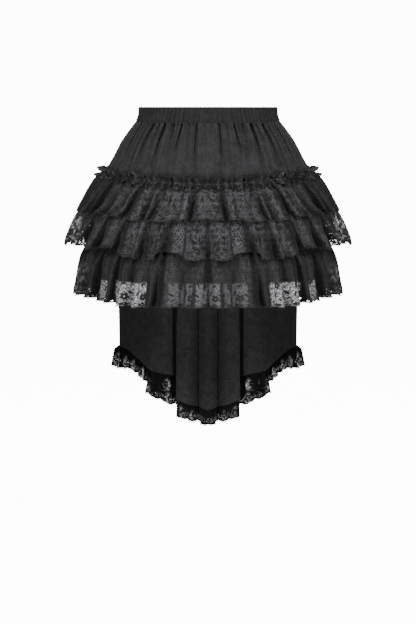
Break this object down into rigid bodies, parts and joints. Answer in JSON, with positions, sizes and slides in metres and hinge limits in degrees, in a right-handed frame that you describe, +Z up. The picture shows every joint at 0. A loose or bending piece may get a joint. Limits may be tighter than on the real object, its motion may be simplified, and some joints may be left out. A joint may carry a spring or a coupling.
{
  "type": "high-low lace skirt",
  "caption": "Short black skirt, worn and open: elastic waistband, gathered yoke, lace tiers with a curly heading, and a long back panel edged in gathered lace.",
  "frame": {"origin": "centre of the waistband, at half its height, where a waist holds it up", "axes": "+Z up, -Y to the wearer's front, +X to the wearer's left side seam"},
  "size_m": [0.533, 0.386, 0.6284],
  "materials": {
    "elastic_casing": "black cloth casing gathered over elastic",
    "plain_cloth": "black brushed knit, matt with a soft sheen",
    "lace": "black floral lace net"
  },
  "bodies": {
    "root": {"waistband": "elastic_casing", "yoke_front": "plain_cloth", "yoke_back": "plain_cloth", "base_front": "plain_cloth", "back_panel": "plain_cloth", "heading_frill": "lace", "tier_1_front": "lace", "tier_1_back": "lace", "tier_2_front": "lace", "tier_2_back": "lace", "tier_3_front": "lace", "tier_3_back": "lace", "panel_trim": "lace"}
  },
  "joints": []
}
